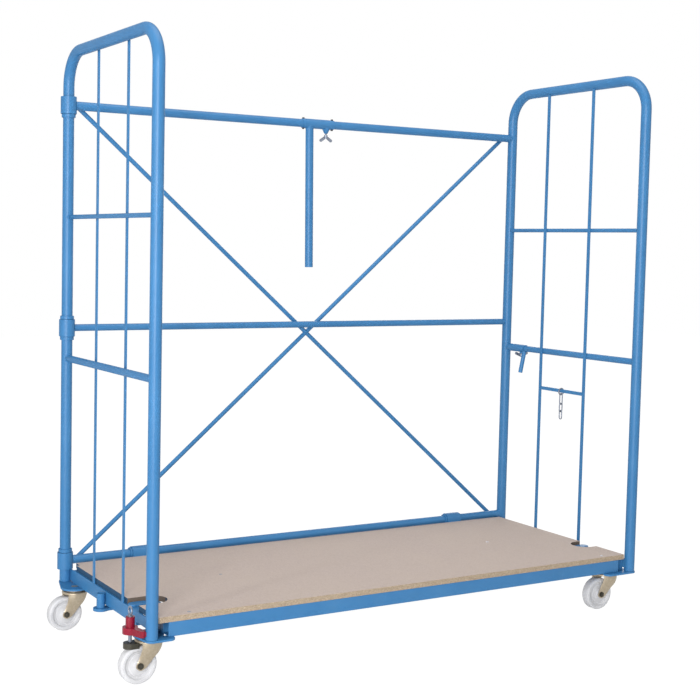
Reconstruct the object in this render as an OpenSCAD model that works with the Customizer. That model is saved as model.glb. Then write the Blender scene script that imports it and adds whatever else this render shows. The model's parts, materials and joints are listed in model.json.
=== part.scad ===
// Furniture roll container: two hooped end gates, a braced back wall, a folding board deck, four castors
// Sizes are millimetres. X runs along the length to the right gate, Y to the back wall, Z up, floor at zero
// The left gate hinges on its rear upright, and the deck hinges up about the lower rail of the back wall

/* [Gates] */
// Distance between the two gates, tube axis to tube axis
gate_span = 1710; // [1600:1:1800]
// Distance between the front and rear uprights of a gate
gate_depth = 678; // [640:1:720]
// Height of the top bar of a gate, at its axis
gate_top = 1746; // [1700:1:1850]
// Outside diameter of the gate tube
gate_tube_d = 33.7; // [32:0.1:34]
// Wall of the gate tube
gate_tube_t = 2.6; // [2:0.1:4]
// Bend radius of the gate corners, at the tube axis
gate_bend_r = 100; // [80:1:150]
// Height of the upper rod of a gate
upper_rod_z = 1255; // [1150:1:1350]
// Diameter of the upper rod
upper_rod_d = 13.5; // [10:0.1:14]
// Height of the lower tube of a gate
lower_tube_z = 824; // [800:1:880]
// Outside diameter of the lower tube
lower_tube_d = 21.3; // [20:0.1:22]
// Wall of the lower tube
lower_tube_t = 2; // [1.5:0.1:3]
// Distance from the rear upright to the rear flat bar
bar_rear = 215; // [190:1:240]
// Distance between the two flat bars of a gate
bar_gap = 227; // [210:1:240]
// Width of a flat bar
bar_w = 12; // [10:0.5:16]
// Thickness of a flat bar
bar_t = 4; // [3:0.5:4]
// Height of the crossbar between the flat bars of the right gate
crossbar_z = 693; // [660:1:720]
// Height of the crossbar itself
crossbar_h = 12; // [8:0.5:12]

/* [Base beams] */
// Distance from the gate axis to the outer face of its base beam
beam_in = 12; // [11.5:0.5:13]
// Width of a base beam
beam_w = 20; // [18:0.5:21]
// Wall of a base beam
beam_t = 2.5; // [2:0.1:4]
// Bare length between the front left upright axis and the left beam
beam_front_gap = 134; // [126:1:150]
// Bare length between the front right upright axis and the right beam
beam_right_gap = 19; // [18:1:40]
// Bare length between the beams and the rear upright axes
beam_rear_gap = 39; // [36:1:60]
// Thickness of the flat links that carry on from the beam to the uprights
link_t = 6; // [4:0.5:8]

/* [Back wall] */
// Drop of the top rail below the top bar of the gates
top_rail_drop = 154; // [130:1:180]
// Height of the middle rail
mid_rail_z = 917; // [905:1:930]
// Height of the lower rail, which is the deck hinge axis
low_rail_z = 195; // [195:0.5:197]
// Outside diameter of the top and lower rails
rail_d = 26.9; // [25:0.1:28]
// Wall of the top and lower rails
rail_t = 2.6; // [2:0.1:4]
// Outside diameter of the middle rail
mid_rail_d = 21.3; // [18:0.1:22]
// Diameter of the diagonal braces
brace_d = 14; // [10:0.5:15]
// Distance from the gate axis to the upper brace end
brace_in_top = 41; // [38:1:60]
// Distance from the gate axis to the lower brace end
brace_in_low = 41; // [38:1:60]
// Outside diameter of the pivot sleeves on the left rear upright
sleeve_d = 48.3; // [46:0.1:49]
// Wall of the pivot sleeves
sleeve_t = 3; // [2:0.1:3.5]
// Length of the pivot sleeves
sleeve_l = 52; // [50:0.5:56]
// Height of the stop rings beside the pivot sleeves
stop_h = 10.5; // [8:0.5:12]
// Thickness of the stop rings
stop_t = 4.2; // [3:0.1:5]

/* [Deck] */
// Thickness of the deck board
board_t = 16; // [14:0.5:16]
// Distance from the left gate axis to the board edge
board_left = 18; // [18:0.5:30]
// Distance from the right gate axis to the board edge
board_right = 25; // [20:0.5:30]
// Distance from the hinge axis to the rear edge of the board
board_rear = 22; // [22:0.5:26]
// Height of the front beam and the underframe
frame_h = 40; // [36:0.5:40]
// Width of the front beam
front_beam_w = 40; // [35:0.5:42]
// Distance from the left gate axis to the front beam
front_beam_left = 49; // [45:1:70]
// Distance from the right gate axis to the front beam
front_beam_right = 48; // [40:1:60]
// Wall of the folded underframe channels
frame_t = 3; // [2:0.1:4]
// Width of the underframe channels
frame_w = 30; // [26:0.5:34]
// Distance from the gate axis to the outer face of a side channel
side_in = 80; // [75:1:90]
// Place of the first inner channel along the length
cross_a = -484; // [-520:1:-450]
// Place of the second inner channel along the length
cross_b = 22; // [0:1:40]
// Place of the third inner channel along the length
cross_c = 529; // [500:1:560]
// Radius of the notches in the side edges of the board
notch_r = 41; // [38:0.5:46]
// Distance from the front uprights to the middle of the notches
notch_front = 173; // [168:0.5:178]
// Distance from the board edge to the centre of the left notch
notch_left_in = 59; // [50:0.5:64]
// Distance from the board edge to the centre of the right notch
notch_right_in = 23; // [20:0.5:40]
// Reach of the lugs in the notches, from the gate axis to the hole
lug_tip = 57.5; // [54:0.5:60]
// Radius of a lug about its hole
lug_r = 16; // [12:0.5:16]
// Thickness of a lug
lug_t = 6; // [4:0.5:8]
// Diameter of the hole in a lug
lug_hole_d = 9; // [8:0.5:12]
// Outside diameter of the deck hinge sleeves
deck_sleeve_d = 42; // [38:0.5:42]
// Place of the left deck sleeve along the length
deck_sleeve_a = -636; // [-640:1:-560]
// Place of the right deck sleeve along the length
deck_sleeve_b = 594; // [560:1:600]
// Length of the deck hinge sleeves
deck_sleeve_l = 58; // [50:1:62]
// Shank diameter of the deck screws
deck_screw_d = 5; // [4:0.5:6]
// Head diameter of the deck screws
deck_screw_head = 10; // [8:0.5:12]
// Distance from the middle row of deck screws to the mid line
screw_row_y = 3; // [0:1:20]

/* [Foot plates and castors] */
// Overall height of a castor under its foot plate
castor_h = 125; // [125:0.5:126]
// Thickness of the foot plates
plate_t = 6; // [5:0.5:6]
// Edge radius of a foot plate about its upright
plate_r = 19; // [18.5:0.5:24]
// Radius of a foot plate about its castor
pad_r = 42; // [38:0.5:44]
// Diameter of the castor stud in a foot plate
stud_d = 20; // [16:0.5:22]
// Diameter of the race ring of a castor head
race_d = 60; // [50:0.5:64]
// Radius of the crown of a castor fork
crown_r = 38; // [36:0.5:38]
// Height of the rim of the crown over all
crown_rim_h = 8; // [6:0.5:9]
// Reach of the front plates under the front beam at the left
tongue_left = 47; // [40:1:60]
// Reach of the front plates under the front beam at the right
tongue_right = 90; // [70:1:100]
// Place of the front left castor from its gate axis
castor_fl_in = 14; // [10:1:20]
// Place of the front left castor from its upright
castor_fl_back = 54; // [50:1:60]
// Place of the rear left castor from its gate axis
castor_rl_in = 3; // [0:1:10]
// Place of the rear left castor from its upright
castor_rl_fore = 77; // [70:1:84]
// Place of the right castors from their gate axis
castor_r_in = 55; // [50:1:60]
// Place of the right castors from their uprights
castor_r_off = 57; // [50:1:62]
// Wheel diameter
wheel_d = 104; // [90:1:104]
// Wheel width over the tread
wheel_w = 30; // [26:0.5:30]
// Length of the wheel hub
hub_l = 33; // [31:0.5:33]
// Offset of the axle behind the swivel axis
trail = 32; // [30:0.5:36]
// Diameter of the axle
axle_d = 12; // [10:0.5:12]
// Radial running clearance of bores on shafts
run_gap = 0.08; // [0.05:0.01:0.1]
// Inside width of a castor fork
fork_w = 34; // [34:0.5:36]
// Plate thickness of a castor fork
fork_t = 3; // [2.5:0.1:4]
// Diameter of the swivel pin of a castor
king_d = 16; // [14:0.5:18]

/* [Brace arm on the top rail] */
// Place of the arm along the length
arm_x = -11.5; // [-60:0.5:60]
// Length of the sleeve of the arm
arm_sleeve_l = 100.5; // [96:0.5:120]
// Part of the sleeve that lies left of the arm
arm_sleeve_left = 19; // [18:0.5:30]
// Outside diameter of the sleeve of the arm
arm_sleeve_d = 32; // [31:0.1:34]
// Outside diameter of the arm
arm_d = 26.9; // [22:0.1:28]
// Length of the arm below the rail axis
arm_l = 481; // [400:1:500]
// Lean of the stop arm to the right, in degrees
arm_lean = 1; // [0:0.1:2]
// Distance from the arm to the wing screw
wing_off = 64.5; // [55:0.5:66]
// Outside diameter of the stop collars
collar_d = 31; // [30:0.5:38]
// Length of the stop collars
collar_l = 10; // [9.5:0.5:14]
// Diameter of the black pins in the stop collars
collar_pin_d = 8; // [5:0.5:8]
// Reach of the black pins out of the rail
collar_pin_out = 6; // [4:0.5:8]

/* [Side clamp on the right gate] */
// Distance from the rear upright to the far end of the clamp sleeve
clamp_rear = 21; // [21:1:30]
// Length of the clamp sleeve
clamp_l = 92; // [84:1:96]
// Outside diameter of the clamp sleeve
clamp_d = 27; // [26:0.1:28]
// Diameter of the clamp peg
peg_d = 15; // [12:0.5:16]
// Length of the clamp peg from the tube axis
peg_l = 89; // [70:1:90]
// Lean of the clamp peg to the inside, in degrees
peg_lean = 12; // [0:1:14]

/* [Chain] */
// Wire diameter of the chain links
wire_d = 4; // [3.5:0.1:4.2]
// Width of a chain link over the wire
link_w = 17; // [15.5:0.1:18]
// Length of the first link, wire centre to wire centre
chain_a = 39; // [30:1:40]
// Length of the other links, wire centre to wire centre
chain_b = 30; // [26:1:32]

/* [Coupling post and direction lock] */
// Place of the coupling post from the mid line, toward the back
post_y = 32; // [10:1:50]
// Outside diameter of the coupling post
post_d = 24.5; // [24:0.1:28]
// Bore through the coupling post and its plate
post_bore = 19.3; // [18:0.1:20]
// Height of the coupling post
post_h = 42.5; // [36:0.5:50]
// Drop of the coupling plate below the base beam
post_drop = 7.5; // [5:0.5:12]
// Thickness of the plate under the post
post_plate_t = 8; // [6:0.5:8]
// Edge radius of the plate under the post
post_plate_r = 22; // [18:0.5:24]
// Width of the tab that joins the coupling plate to the beam
post_tab_w = 30; // [20:1:36]
// Thickness of that tab
post_tab_t = 10; // [6:0.5:12]
// Distance of the lock pin outside the front left castor axis
lock_out = 53.5; // [52:0.5:56]
// Diameter of the lock pin
lock_pin_d = 10; // [6:0.5:10]
// Diameter of the lock housing foot
lock_foot_d = 42; // [34:0.5:42]
// Height of the lock housing foot and its arm
lock_foot_h = 18; // [12:0.5:20]
// Diameter of the lock housing tube
lock_tube_d = 25; // [20:0.5:26]
// Height of the lock housing over all
lock_h = 46; // [40:0.5:52]
// Radius of the lock plate about the lock pin
lock_plate_r = 18.5; // [18:0.5:19]
// Depth of the rim of the lock plate
lock_rim_h = 15; // [8:0.5:16]
// Travel that the lock pin has upward
lock_lift = 10; // [6:1:12]

/* [Hidden] */

$fn = 64;

// Gap left where two pieces of one body are welded or seated
seat = 0.3;
// Gap kept between pieces that move against each other end to end
end_gap = 0.4;

gx = gate_span / 2;
uy = gate_depth / 2;
tube_r = gate_tube_d / 2;
rail_r = rail_d / 2;
mid_r = mid_rail_d / 2;
brace_r = brace_d / 2;
sleeve_r = sleeve_d / 2;
top_rail_z = gate_top - top_rail_drop;
plate_top = castor_h + plate_t;
foot_z = plate_top + seat;
deck_z = plate_top + seat;
board_z = deck_z + frame_h;
deck_top = board_z + board_t;
// The base beams stand on the foot plates, and the board rests on them
beam_z = plate_top + seat;
beam_top = board_z - seat;
beam_h = beam_top - beam_z;

// The flat bars lie against the inner side of the lower tube, and the upper rod lies against the bars
bar_off = lower_tube_d / 2 + seat + bar_t / 2;
rod_off = bar_off - bar_t / 2 - seat - upper_rod_d / 2;
bar_rear_y = uy - bar_rear;
bar_front_y = bar_rear_y - bar_gap;
bar_low = beam_top + seat;
bar_high = gate_top - 13;

// The braces lie behind the middle rail
brace_y = uy + mid_r + brace_r + 0.05;
brace_top_z = top_rail_z - 7;
brace_low_z = low_rail_z - 2;
brace_top_x = gx - brace_in_top;
brace_low_x = gx - brace_in_low;
brace_slope = (brace_top_z - brace_low_z) / (brace_top_x + brace_low_x);
brace_mid_z = brace_top_z - brace_slope * brace_top_x;

castor_fl = [-gx + castor_fl_in, -uy + castor_fl_back];
castor_rl = [-gx + castor_rl_in, uy - castor_rl_fore];
castor_fr = [gx - castor_r_in, -uy + castor_r_off];
castor_rr = [gx - castor_r_in, uy - castor_r_off];
axle_z = wheel_d / 2;
crown_z = 115;
lock_z = crown_z - 6;
crown_t = 5;
race_z = crown_z + crown_t + seat;
king_low = crown_z - seat - 4;

notch_y = -uy + notch_front;
lug_z = beam_top + seat;
lug_y = notch_y + 19;

frame_rear = uy - board_rear;
frame_front = -uy;
side_l = -gx + side_in;
side_r = gx - side_in;
screw_front_y = frame_front + front_beam_w / 2;
screw_points = [[side_l + 37, screw_front_y], [side_r - 26, screw_front_y], [cross_a, screw_row_y],
    [cross_c, screw_row_y]];

arm_z = top_rail_z;
arm_left = arm_x - arm_sleeve_left;
arm_right = arm_left + arm_sleeve_l;
collar_pins = [arm_left - end_gap - collar_l / 2, arm_right + end_gap + collar_l / 2];
wing_x = arm_x + wing_off;
wing_nut_h = 14;
wing_low = arm_z - arm_sleeve_d / 2 - wing_nut_h;

clamp_y = uy - clamp_rear - clamp_l;
peg_y = clamp_y + peg_d / 2 - 3;
clamp_screw_y = clamp_y + 24;
clamp_nut_h = 5;

post_x = -gx + beam_in - seat - post_d / 2;
post_z = beam_z - post_drop;
lock_x = castor_fl[0] - lock_out;
lock_y = castor_fl[1];
lock_low = plate_top + 8;

// The chain ring is just large enough for the crossbar and the first link beside it
ring_wire = 4.5;
ring_r = (crossbar_h + wire_d + 3 * seat + 0.6) / 2 + ring_wire / 2;
ring_z = crossbar_z + crossbar_h / 2 + seat + ring_wire / 2 - ring_r;
chain_x = gx - bar_off;
chain_y = (bar_front_y + bar_rear_y) / 2;
hang = ring_wire / 2 + wire_d / 2;
link_a_z = ring_z - ring_r + hang + seat;
link_b_z = link_a_z - chain_a + wire_d + seat;
link_c_z = link_b_z - chain_b + wire_d + seat;

// The frame origin is the middle of the footprint, so everything is shifted by these two values
x_low = castor_rl[0] - trail - wheel_d / 2;
x_high = gx + plate_r;
y_low = -uy - plate_r;
y_high = brace_y + brace_r;
mid_x = (x_low + x_high) / 2;
mid_y = (y_low + y_high) / 2;

blue = [0.27, 0.45, 0.68];
steel = [0.75, 0.77, 0.8];
dark = [0.12, 0.12, 0.13];
gold = [0.8, 0.7, 0.5];
white = [0.86, 0.86, 0.87];
red = [0.6, 0.05, 0.18];
board = [0.73, 0.66, 0.6];

// Basic shapes

module place() {
    translate([-mid_x, -mid_y, 0])
        children();
}

module ring2(od, id) {
    difference() {
        circle(d = od);
        circle(d = id);
    }
}

module tube(od, id, h) {
    linear_extrude(h)
        ring2(od, id);
}

module tube_x(od, id, l) {
    rotate([0, 90, 0])
        tube(od, id, l);
}

module tube_y(od, id, l) {
    rotate([-90, 0, 0])
        tube(od, id, l);
}

module rod_y(d, l) {
    rotate([-90, 0, 0])
        cylinder(d = d, h = l);
}

module rod_x(d, l) {
    rotate([0, 90, 0])
        cylinder(d = d, h = l);
}

// Flat shape around two circles, made of the circles and the quad between them
// The quad is a hair narrower than the tangent lines, so that its sides cross the circles cleanly
module slab2(a, ra, b, rb) {
    run = norm(b - a);
    turn = atan2(b[1] - a[1], b[0] - a[0]);
    open = acos((ra - rb) / run);
    ia = ra - 0.12;
    ib = rb - 0.12;
    translate(a)
        circle(r = ra);
    translate(b)
        circle(r = rb);
    polygon([
        a + ia * [cos(turn + open), sin(turn + open)],
        a + ia * [cos(turn - open), sin(turn - open)],
        b + ib * [cos(turn - open), sin(turn - open)],
        b + ib * [cos(turn + open), sin(turn + open)]
    ]);
}

// Rod between two points of the plane behind the rails
module brace(a, b, d) {
    run = norm(b - a);
    lean = atan2(b[0] - a[0], b[1] - a[1]);
    translate([a[0], brace_y, a[1]])
        rotate([0, lean, 0])
            cylinder(d = d, h = run);
}

// Gates

module upright_clear(x) {
    for (side = [-1, 1])
        translate([x, side * uy, 0])
            cylinder(r = tube_r + seat, h = gate_top);
}

module hoop(x) {
    id = gate_tube_d - 2 * gate_tube_t;
    for (side = [-1, 1])
        translate([x, side * uy, foot_z])
            tube(gate_tube_d, id, gate_top - gate_bend_r - foot_z);
    translate([x, -uy + gate_bend_r, gate_top])
        tube_y(gate_tube_d, id, gate_depth - 2 * gate_bend_r);
    translate([x, uy - gate_bend_r, gate_top - gate_bend_r])
        rotate([90, 0, 90])
            rotate_extrude(angle = 90)
                translate([gate_bend_r, 0])
                    ring2(gate_tube_d, id);
    translate([x, -uy + gate_bend_r, gate_top - gate_bend_r])
        rotate([90, -90, 90])
            rotate_extrude(angle = 90)
                translate([gate_bend_r, 0])
                    ring2(gate_tube_d, id);
}

module bars(x, inside) {
    difference() {
        for (y = [bar_front_y, bar_rear_y])
            translate([x + inside * bar_off - bar_t / 2, y - bar_w / 2, bar_low])
                cube([bar_t, bar_w, bar_high - bar_low]);
        translate([x, -uy, gate_top])
            rod_y(gate_tube_d + 2 * seat, gate_depth);
    }
}

module upper_rod(x, inside) {
    difference() {
        translate([x + inside * rod_off, -uy + 4, upper_rod_z])
            rod_y(upper_rod_d, gate_depth - 8);
        upright_clear(x);
    }
}

module lower_tube(x) {
    difference() {
        translate([x, -uy + 4, lower_tube_z])
            tube_y(lower_tube_d, lower_tube_d - 2 * lower_tube_t, gate_depth - 8);
        upright_clear(x);
    }
}

// Box beam with a flat link carrying on to each upright in line with its outer wall
module base_beam(x, inside, front_gap, rear_link_top) {
    y0 = -uy + front_gap;
    y1 = uy - beam_rear_gap;
    outer = x + inside * beam_in;
    beam_x = outer + (inside - 1) * beam_w / 2;
    link_x = outer + (inside - 1) * link_t / 2;
    difference() {
        union() {
            translate([beam_x, y0, beam_z])
                cube([beam_w, y1 - y0, beam_h]);
            translate([link_x, -uy, beam_z + 10])
                cube([link_t, front_gap + 10, beam_h - 10]);
            translate([link_x, y1 - 10, beam_z + 3])
                cube([link_t, beam_rear_gap + 10, rear_link_top - beam_z - 3]);
        }
        translate([beam_x + beam_t, y0 + 12, beam_z + beam_t])
            cube([beam_w - 2 * beam_t, y1 - y0 - 24, beam_h - 2 * beam_t]);
        upright_clear(x);
    }
}

// Drilled lug that stands in the notch of the deck board
module lug(x, inside) {
    translate([x, lug_y, lug_z])
        linear_extrude(lug_t)
            difference() {
                slab2([inside * (beam_in + lug_r), 0], lug_r, [inside * lug_tip, 0], lug_r);
                translate([inside * lug_tip, 0])
                    circle(d = lug_hole_d);
            }
}

module right_hoop() {
    color(blue) place()
        hoop(gx);
}

module left_hoop() {
    color(blue) place()
        hoop(-gx);
}

module right_bars() {
    color(blue) place()
        bars(gx, -1);
}

module left_bars() {
    color(blue) place()
        bars(-gx, 1);
}

module right_upper_rod() {
    color(blue) place()
        upper_rod(gx, -1);
}

module left_upper_rod() {
    color(blue) place()
        upper_rod(-gx, 1);
}

module right_lower_tube() {
    color(blue) place()
        lower_tube(gx);
}

module left_lower_tube() {
    color(blue) place()
        lower_tube(-gx);
}

module right_base_beam() {
    color(blue) place()
        base_beam(gx, -1, beam_right_gap, beam_top);
}

module left_base_beam() {
    color(blue) place()
        base_beam(-gx, 1, beam_front_gap, low_rail_z - sleeve_l / 2 - 1);
}

module right_lug() {
    color(blue) place()
        lug(gx, -1);
}

module left_lug() {
    color(blue) place()
        lug(-gx, 1);
}

module crossbar() {
    color(blue) place()
        translate([chain_x - bar_t / 2, bar_front_y + bar_w / 2 + seat, crossbar_z - crossbar_h / 2])
            cube([bar_t, bar_gap - bar_w - 2 * seat, crossbar_h]);
}

// Back wall

module back_rail(z, d, t) {
    difference() {
        translate([-gx + 10, uy, z])
            tube_x(d, d - 2 * t, gate_span - 20);
        translate([-gx, uy, z - sleeve_l])
            cylinder(r = sleeve_r + seat, h = 2 * sleeve_l);
        translate([gx, uy, z - sleeve_l])
            cylinder(r = tube_r + seat, h = 2 * sleeve_l);
    }
}

module back_top_rail() {
    color(blue) place()
        back_rail(top_rail_z, rail_d, rail_t);
}

module back_mid_rail() {
    color(blue) place()
        back_rail(mid_rail_z, mid_rail_d, lower_tube_t);
}

module back_lower_rail() {
    color(blue) place()
        back_rail(low_rail_z, rail_d, rail_t);
}

module rail_clear() {
    for (z = [top_rail_z, low_rail_z])
        translate([-gx, uy, z])
            rod_x(rail_d + 2 * seat, gate_span);
}

module brace_long() {
    color(blue) place()
        difference() {
            brace([-brace_top_x, brace_top_z], [brace_low_x, brace_low_z], brace_d);
            rail_clear();
        }
}

module brace_halves() {
    color(blue) place()
        difference() {
            union() {
                brace([0, brace_mid_z], [brace_top_x, brace_top_z], brace_d);
                brace([-brace_low_x, brace_low_z], [0, brace_mid_z], brace_d);
            }
            brace([-brace_top_x, brace_top_z], [brace_low_x, brace_low_z], brace_d + 2 * seat);
            rail_clear();
        }
}

module pivot_sleeves() {
    color(blue) place()
        for (z = [top_rail_z, mid_rail_z, low_rail_z])
            translate([-gx, uy, z - sleeve_l / 2])
                tube(sleeve_d, sleeve_d - 2 * sleeve_t, sleeve_l);
}

module pivot_bushes() {
    color(dark) place()
        for (z = [top_rail_z, mid_rail_z, low_rail_z])
            translate([-gx, uy, z - sleeve_l / 2])
                tube(sleeve_d - 2 * sleeve_t - 2 * 0.15, gate_tube_d + 2 * run_gap, sleeve_l);
}

module gate_stop_ring(z) {
    translate([-gx, uy, z])
        tube(gate_tube_d + 2 * stop_t, gate_tube_d + 2 * 0.15, stop_h);
}

module gate_stop_rings() {
    color(blue) place() {
        gate_stop_ring(top_rail_z - sleeve_l / 2 - end_gap - stop_h);
        gate_stop_ring(mid_rail_z - sleeve_l / 2 - end_gap - stop_h);
        gate_stop_ring(mid_rail_z + sleeve_l / 2 + end_gap);
        gate_stop_ring(low_rail_z + sleeve_l / 2 + end_gap);
    }
}

module rail_ring(x, z, od, l) {
    translate([x, uy, z])
        tube_x(od, rail_d + 2 * 0.15, l);
}

module deck_ring(x) {
    rail_ring(x, low_rail_z, deck_sleeve_d - 6, 6);
}

module deck_stop_rings() {
    color(blue) place() {
        deck_ring(deck_sleeve_a - end_gap - 6);
        deck_ring(deck_sleeve_a + deck_sleeve_l + end_gap);
        deck_ring(deck_sleeve_b - end_gap - 6);
        deck_ring(deck_sleeve_b + deck_sleeve_l + end_gap);
    }
}

// Foot plates

module plate_hole(c) {
    translate(c)
        circle(d = stud_d + 2 * seat);
}

// Plate through one upright and one castor, with the hole for the stud of the castor
module foot_plate(post, c) {
    translate([0, 0, castor_h])
        linear_extrude(plate_t)
            difference() {
                union() {
                    slab2(post, plate_r, c, pad_r);
                    children();
                }
                plate_hole(c);
            }
}

module foot_plate_fl() {
    color(blue) place()
        foot_plate([-gx, -uy], castor_fl)
            slab2([-gx, -uy], plate_r, [-gx + tongue_left, -uy], plate_r);
}

module foot_plate_rl() {
    color(blue) place()
        foot_plate([-gx, uy], castor_rl);
}

module right_foot_plates() {
    color(blue) place() {
        foot_plate([gx, -uy], castor_fr)
            slab2([gx, -uy], plate_r, [gx - tongue_right, -uy], plate_r);
        foot_plate([gx, uy], castor_rr);
    }
}

// Castors

// Turned head: stud through the foot plate, race ring, swivel pin and bottom flange
module castor_head(c) {
    translate(c) {
        translate([0, 0, castor_h])
            cylinder(d = stud_d, h = plate_t);
        translate([0, 0, race_z])
            cylinder(d = race_d, h = castor_h - race_z);
        translate([0, 0, king_low])
            cylinder(d = king_d, h = castor_h - king_low);
        translate([0, 0, king_low])
            cylinder(d = king_d + 10, h = 4);
    }
}

module left_castor_heads() {
    color(gold) place() {
        castor_head(castor_fl);
        castor_head(castor_rl);
    }
}

module right_castor_heads() {
    color(gold) place() {
        castor_head(castor_fr);
        castor_head(castor_rr);
    }
}

// Leg of a fork, wide under the crown and narrow round the axle
module fork_side(y) {
    translate([0, y, 0])
        rotate([90, 0, 0])
            linear_extrude(fork_t) {
                translate([-trail, axle_z])
                    circle(r = 13);
                polygon([
                    [-trail + 23, axle_z - 4], [-trail + 28.5, axle_z + 8], [2.5, 71], [7.5, 79], [14, 87], [22, 100],
                    [28, crown_z - 3], [28, crown_z + 1], [-27, crown_z + 1], [-27, 100], [-30, 85], [-36, 66],
                    [-trail - 9.5, axle_z + 8], [-trail - 9.5, axle_z - 8],
                    [-trail, axle_z - 12.9], [-trail + 12, axle_z - 11]
                ]);
            }
}

module fork(c) {
    translate(c)
        difference() {
            union() {
                translate([0, 0, crown_z])
                    cylinder(r = crown_r, h = crown_t);
                translate([0, 0, crown_z + crown_t - crown_rim_h])
                    tube(2 * crown_r, 2 * (crown_r - fork_t), crown_rim_h - 1);
                fork_side(fork_w / 2 + fork_t);
                fork_side(-fork_w / 2);
            }
            translate([0, 0, crown_z - 1])
                cylinder(r = king_d / 2 + run_gap, h = crown_t + 2);
            translate([-trail, -fork_w, axle_z])
                rod_y(axle_d + 2 * 0.15, 2 * fork_w);
        }
}

module wheel(c) {
    r = wheel_d / 2;
    w = wheel_w / 2;
    h = hub_l / 2;
    bore = axle_d / 2 + run_gap;
    translate([c[0] - trail, c[1], axle_z])
        rotate([90, 0, 0])
            rotate_extrude()
                polygon([
                    [bore, -h], [13, -h], [13, -w + 4], [r - 12, -w + 4], [r - 9, -w], [r - 3, -w],
                    [r, -w + 4], [r, w - 4], [r - 3, w], [r - 9, w], [r - 12, w - 4], [13, w - 4],
                    [13, h], [bore, h]
                ]);
}

module axle(c) {
    side = fork_w / 2 + fork_t;
    translate([c[0] - trail, c[1], axle_z]) {
        translate([0, -side - 1, 0])
            rod_y(axle_d, 2 * side + 2);
        for (turn = [0, 180])
            rotate([0, 0, turn]) {
                translate([0, side + seat, 0])
                    rod_y(axle_d + 10, 1.6);
                translate([0, side + seat + 1.6, 0])
                    rotate([-90, 0, 0])
                        cylinder(d = axle_d + 7, h = 7, $fn = 6);
            }
    }
}

module fork_fl() {
    color(gold) place()
        fork(castor_fl);
}

module fork_rl() {
    color(gold) place()
        fork(castor_rl);
}

module fork_fr() {
    color(gold) place()
        fork(castor_fr);
}

module fork_rr() {
    color(gold) place()
        fork(castor_rr);
}

module wheel_fl() {
    color(white) place()
        wheel(castor_fl);
}

module wheel_rl() {
    color(white) place()
        wheel(castor_rl);
}

module wheel_fr() {
    color(white) place()
        wheel(castor_fr);
}

module wheel_rr() {
    color(white) place()
        wheel(castor_rr);
}

module axle_fl() {
    color(steel) place()
        axle(castor_fl);
}

module axle_rl() {
    color(steel) place()
        axle(castor_rl);
}

module axle_fr() {
    color(steel) place()
        axle(castor_fr);
}

module axle_rr() {
    color(steel) place()
        axle(castor_rr);
}

// Deck

module deck_board() {
    left = -gx + board_left;
    right = gx - board_right;
    color(board) place()
        difference() {
            translate([left, frame_front, board_z])
                cube([right - left, frame_rear - frame_front, board_t]);
            translate([0, 0, board_z - 1])
                linear_extrude(board_t + 2) {
                    slab2([left - 60, notch_y], notch_r, [left + notch_left_in, notch_y], notch_r);
                    slab2([right + 60, notch_y], notch_r, [right - notch_right_in, notch_y], notch_r);
                    translate([left - 10, frame_rear - 32])
                        square([20, 50]);
                }
            for (p = screw_points)
                translate([p[0], p[1], board_z - 1]) {
                    cylinder(d = deck_screw_d + 2 * seat, h = board_t + 2);
                    translate([0, 0, board_t - 2])
                        cylinder(d = deck_screw_head + 2 * seat, h = 4);
                }
        }
}

module deck_screws() {
    color(steel) place()
        for (p = screw_points)
            translate([p[0], p[1], board_z]) {
                cylinder(d = deck_screw_d, h = board_t - 1);
                translate([0, 0, board_t - 2.7])
                    cylinder(d = deck_screw_head, h = 2.7);
            }
}

// Front beam, a square tube with open ends
module deck_front_beam() {
    left = -gx + front_beam_left;
    right = gx - front_beam_right;
    color(blue) place()
        difference() {
            union() {
                translate([left, frame_front, deck_z])
                    cube([right - left, front_beam_w, frame_h]);
                translate([left, frame_front + front_beam_w - 1, deck_z])
                    cube([frame_t, front_beam_w, frame_h]);
            }
            translate([left - 1, frame_front + frame_t, deck_z + frame_t])
                cube([right - left + 2, front_beam_w - 2 * frame_t, frame_h - 2 * frame_t]);
        }
}

module deck_underframe() {
    front = frame_front + front_beam_w + seat;
    color(blue) place()
        difference() {
            translate([side_l, front, deck_z])
                cube([side_r - side_l, frame_rear - front, frame_h]);
            translate([side_l + frame_t, front + frame_t, deck_z - 1])
                cube([side_r - side_l - 2 * frame_t, frame_rear - front - 2 * frame_t, frame_h + 1 - frame_t]);
            for (span = [[side_l + frame_w, cross_a - frame_w / 2], [cross_a + frame_w / 2, cross_b - frame_w / 2],
                [cross_b + frame_w / 2, cross_c - frame_w / 2], [cross_c + frame_w / 2, side_r - frame_w]])
                translate([span[0], front + frame_w, deck_z - 1])
                    cube([span[1] - span[0], frame_rear - front - 2 * frame_w, frame_h + 2]);
        }
}

module deck_sleeve(x) {
    difference() {
        union() {
            translate([x, uy, low_rail_z])
                rod_x(deck_sleeve_d, deck_sleeve_l);
            translate([x, frame_rear + seat, deck_z + 8])
                cube([deck_sleeve_l, 10, low_rail_z - deck_z - 8]);
        }
        translate([x - 1, uy, low_rail_z])
            rod_x(rail_d + 2 * run_gap, deck_sleeve_l + 2);
        translate([x - 1, frame_front, board_z - seat])
            cube([deck_sleeve_l + 2, frame_rear + seat - frame_front, board_t + 30]);
    }
}

module deck_sleeves() {
    color(blue) place() {
        deck_sleeve(deck_sleeve_a);
        deck_sleeve(deck_sleeve_b);
    }
}

// Arm on the top rail

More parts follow.
